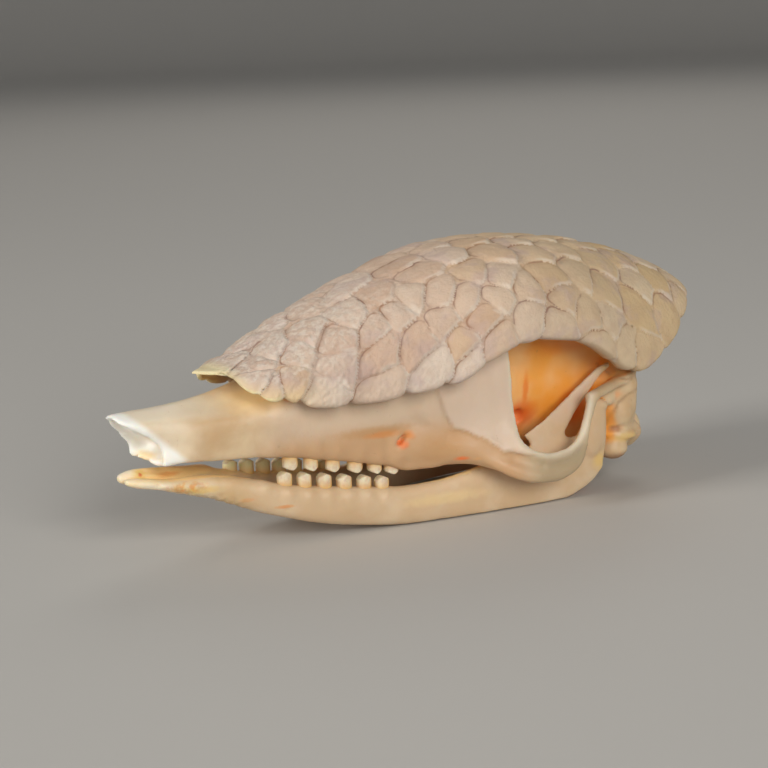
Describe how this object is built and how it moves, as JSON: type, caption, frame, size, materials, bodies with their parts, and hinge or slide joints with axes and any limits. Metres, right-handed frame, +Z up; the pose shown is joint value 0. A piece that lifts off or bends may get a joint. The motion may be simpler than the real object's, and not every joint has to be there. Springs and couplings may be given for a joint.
{
  "type": "armadillo skull with head shield",
  "caption": "Long-snouted armadillo skull with loose lower jaws and peg teeth, its crown under a bony shield of raised scutes, resting on its jaws.",
  "frame": {"origin": "middle of the object's length and breadth, on the surface that the lower jaws rest on", "axes": "snout points to -X, the skull's left side is -Y, +Z up"},
  "size_m": [0.1069, 0.0406, 0.0422],
  "materials": {
    "bone": "dry cleaned bone, satin, ivory to tan with warm orange hollows",
    "jaw_bone": "dry cleaned bone, satin, yellower, stained at the tip",
    "scute_bone": "matte, finely pitted bony plates with purple-brown grooves",
    "tooth": "smooth worn pegs, cream"
  },
  "bodies": {
    "root": {"cranium": "bone", "mandible_left": "jaw_bone", "mandible_right": "jaw_bone", "head_shield": "scute_bone", "upper_tooth_left_1": "tooth", "upper_tooth_left_2": "tooth", "upper_tooth_left_3": "tooth", "upper_tooth_left_4": "tooth", "upper_tooth_left_5": "tooth", "upper_tooth_left_6": "tooth", "lower_tooth_left_1": "tooth", "lower_tooth_left_2": "tooth", "lower_tooth_left_3": "tooth", "lower_tooth_left_4": "tooth", "lower_tooth_left_5": "tooth", "lower_tooth_left_6": "tooth", "upper_tooth_right_1": "tooth", "upper_tooth_right_2": "tooth", "upper_tooth_right_3": "tooth", "upper_tooth_right_4": "tooth", "upper_tooth_right_5": "tooth", "upper_tooth_right_6": "tooth", "upper_tooth_right_7": "tooth", "lower_tooth_right_1": "tooth", "lower_tooth_right_2": "tooth", "lower_tooth_right_3": "tooth", "lower_tooth_right_4": "tooth", "lower_tooth_right_5": "tooth", "lower_tooth_right_6": "tooth", "lower_tooth_right_7": "tooth"}
  },
  "joints": []
}
